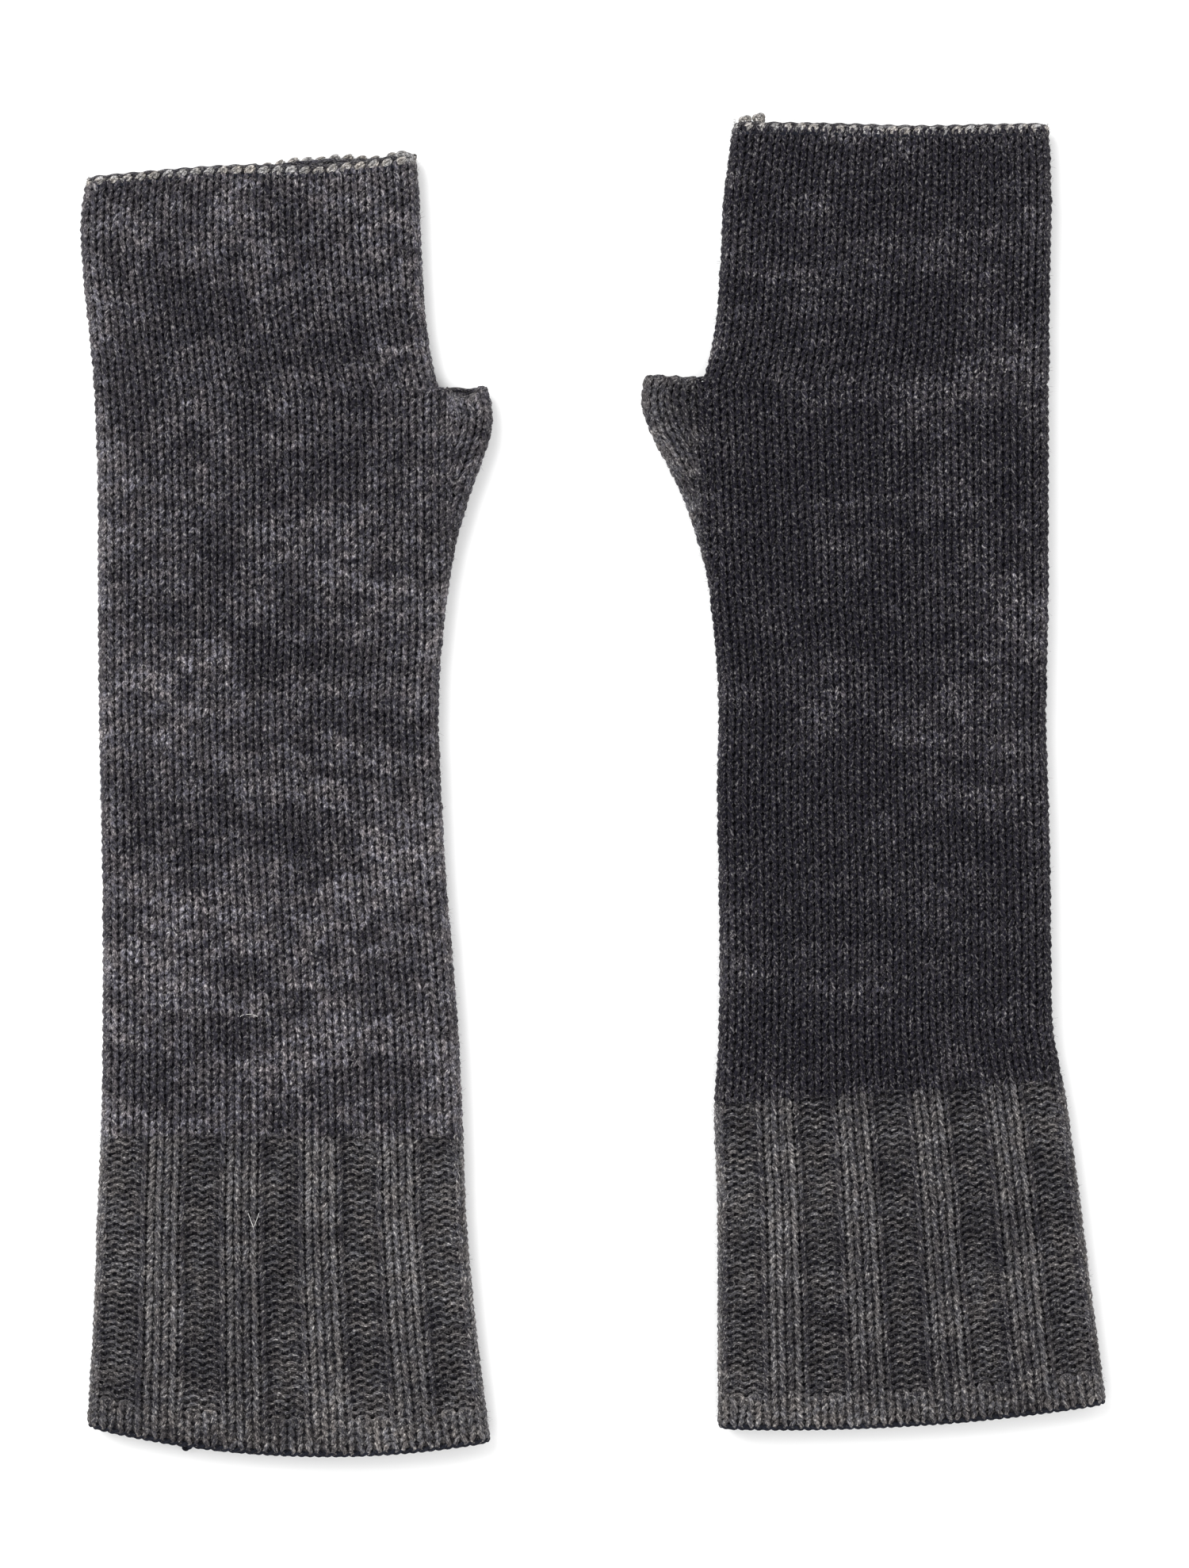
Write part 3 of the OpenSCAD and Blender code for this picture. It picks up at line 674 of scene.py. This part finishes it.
for g in (LEFT, RIGHT):
    n = g["name"]
    end, light = g["end"] - 0.6, edge_yarn if g is LEFT else right_edge_yarn
    all_body = (0, BODY_WALES)
    links = [chain(g, "top", all_body, end, g["edge_up"] + up, 25, side)
             for side, up in ((1, 0), (-1, 0.6))]
    # The strands in the dark rim yarn are painted shade for the chain's far half in shadow; the
    # strands below the chain are near black.
    strands = [rim(g, "top", all_body, end, g["edge_up"] + dy, z, radius, side)
               for side, dy, z, radius in ((1, 0.95, -0.3, 0.6), (1, -1.25, 0.3, 0.5),
                                           (-1, 0.1, -0.3, 0.6), (-1, -1.25, 0.3, 0.5))]
    hairs = fuzz(g, "top", [g["end"] - 1, g["end"]], all_body, 300, seed=5)
    obj = piece(g, n + "_finger_chain", links + strands + hairs,
                [light] * 2 + [painted_shade_rim_yarn, cast_on_yarn] * 2 + [pale_fibre] * 2)
    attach(obj, n + "_hand")
    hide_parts(n + "_finger_edge")
    wales = gusset_wales_at(g)(g["notch"])
    span, end = (BODY_WALES, BODY_WALES + wales), g["notch"] - 0.7
    links = [chain(g, "low", span, end, 0.3, wales, side, wales, 0.9) for side in (1, -1)]
    strands = [rim(g, "low", span, end, 0.9, -0.3, 0.6, side, wales) for side in (1, -1)]
    # The thumb opening's upper links are in the thumb's wool; its lower links and both strands are
    # painted shade in the dark rim yarn.
    obj = piece(g, n + "_thumb_chain", links + strands, [right_thumb_wool] + [painted_shade_rim_yarn] * 3)
    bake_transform(obj)
    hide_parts(n + "_thumb_edge")
    obj = piece(g, n + "_cast_on_edge", cord(g, -0.6, 0.45), [cast_on_yarn] * 4)
    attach(obj, n + "_cuff")


# The side seam and the fastened ends: a two-strand wool cord lies inside the thumb-side fold, and
# small knots of yarn sit at the finger edge's thumb-side corner and on the left cuff's edge.
# Each is a bent tube along its own path.
def seam(g, tube, r0, r1):
    """Two strands twisted round each other along the inside of the thumb-side fold."""
    r = np.linspace(r0, r1, int((r1 - r0) * 4))
    y, _, xr, tilt = row_facts(g, tube, r)[:4]
    inside, strand, turn = 3.2, 0.4, r * 2.6
    parts = []
    for phase in (0, math.pi):
        x = xr - inside + strand * np.cos(turn + phase)
        co = np.stack([x, y + tilt * 0.5, MID + strand * np.sin(turn + phase)], -1)
        up = np.broadcast_to([0.0, 0.0, 1.0], co[None].shape)
        parts.append(tubes(co[None], up, strand, 4, 8))
    return parts


def yarn_knot(x, y, z, size):
    """A trefoil: the yarn goes twice round a ring while it winds three times in and out, and up
    and down."""
    t = np.linspace(0, 2 * math.pi, 61)
    ring = 1 + 0.45 * np.cos(3 * t)
    co = np.stack([x + size * ring * np.cos(2 * t), y + 0.75 * size * ring * np.sin(2 * t),
                   z + 0.5 * size * np.sin(3 * t)], -1)
    return tubes(co[None], np.broadcast_to([0.2, 0.1, 0.97], co[None].shape), 0.42 * size, 5, 10)


for g in (LEFT, RIGHT):
    n = g["name"]
    for body, tube, start, stop in (("cuff", "low", 0, g["rib"]),
                                    ("arm", "low", g["rib"], g["wrist"]),
                                    ("hand", "top", g["notch"], g["end"])):
        strands = seam(g, tube, start + 0.5, stop - 0.5)
        obj = piece(g, f"{n}_{body}_seam_cord", strands, [seam_yarn] * 2)
        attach(obj, f"{n}_{body}")
        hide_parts(f"{n}_{body}_seam")
    y, _, x, tilt, _ = g["top"][-1]
    if g is LEFT:
        places = ((2.9, -2.0, 1.45), (5.3, -2.2, 1.3))
    else:
        places = ((2.9, -1.0, 1.0), (6.3, -0.4, 1.0))
    knots = [yarn_knot(x - dx, y + tilt / 2 + dy, 7.0, size) for dx, dy, size in places]
    obj = piece(g, n + "_corner_knots", knots, [edge_yarn] * 2)
    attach(obj, n + "_hand")
    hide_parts(n + "_finger_knot")
obj = piece(LEFT, "left_cuff_lump", [yarn_knot(-21.0, -184.6, 2.6, 0.8)], [cast_on_yarn])
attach(obj, "left_cuff")
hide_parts("left_cuff_knot")

# The stray hairs: two white fibres cling to the left glove, a V-shaped one on the rib and a short
# curl on the arm. Each is a bent tube that lies on the stitches.
for body, q, r, turn, place in (("cuff", 10.3, 29.2, 1.3, "rib_wool"),
                                ("arm", 10.0, 55.5, 3.2, "left_body_wool")):
    a = np.linspace(-0.5, 0.5, 13)
    hair_q = q + 0.55 * np.sin(turn * a)
    hair_r = r - 1.0 + (3.8 * np.abs(a) if body == "cuff" else 0.3 * np.cos(turn * a))
    co, normal = surface(LEFT, "low", hair_q, hair_r, 1, 1.15 + 0 * a)
    hair = tubes(co[None], normal[None], 0.06, 4, 12)
    obj = piece(LEFT, f"left_{body}_stray_hair", [hair], [white_fibre])
    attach(obj, "left_" + body)

# The floor, lights and camera: the pair lies on a plain pale table of matt paper. Two broad lamps
# and an even white sky light it softly, and the camera looks at it from straight above.
bpy.ops.mesh.primitive_plane_add(size=8, location=(0, 0, 0))
floor = bpy.context.object
floor.name = "table"
paper = bpy.data.materials.new("paper")
paper.use_nodes = True
paper.node_tree.nodes["Principled BSDF"].inputs["Base Color"].default_value = (0.93, 0.93, 0.93, 1)
paper.node_tree.nodes["Principled BSDF"].inputs["Roughness"].default_value = 0.9
floor.data.materials.append(paper)


def area(name, place, size, power):
    """A square soft light that faces the middle of the pair."""
    data = bpy.data.lights.new(name, "AREA")
    data.size = size
    data.energy = power
    lamp = bpy.data.objects.new(name, data)
    bpy.context.scene.collection.objects.link(lamp)
    lamp.location = place
    lamp.rotation_euler = (-lamp.location).to_track_quat("-Z", "Y").to_euler()


area("key", (-0.75, 0.75, 1.2), 1.0, 22)
area("fill", (0.7, -0.5, 1.5), 1.4, 9)
world = bpy.data.worlds.new("world")
world.use_nodes = True
world.node_tree.nodes["Background"].inputs["Color"].default_value = (1, 1, 1, 1)
world.node_tree.nodes["Background"].inputs["Strength"].default_value = 0.9
bpy.context.scene.world = world
bpy.context.scene.view_settings.view_transform = "Standard"
lens = bpy.data.cameras.new("camera")
lens.lens = 100
lens.clip_end = 10
camera = bpy.data.objects.new("camera", lens)
bpy.context.scene.collection.objects.link(camera)
camera.location = (0.0002, 0.0002, 1.099)
bpy.context.scene.camera = camera
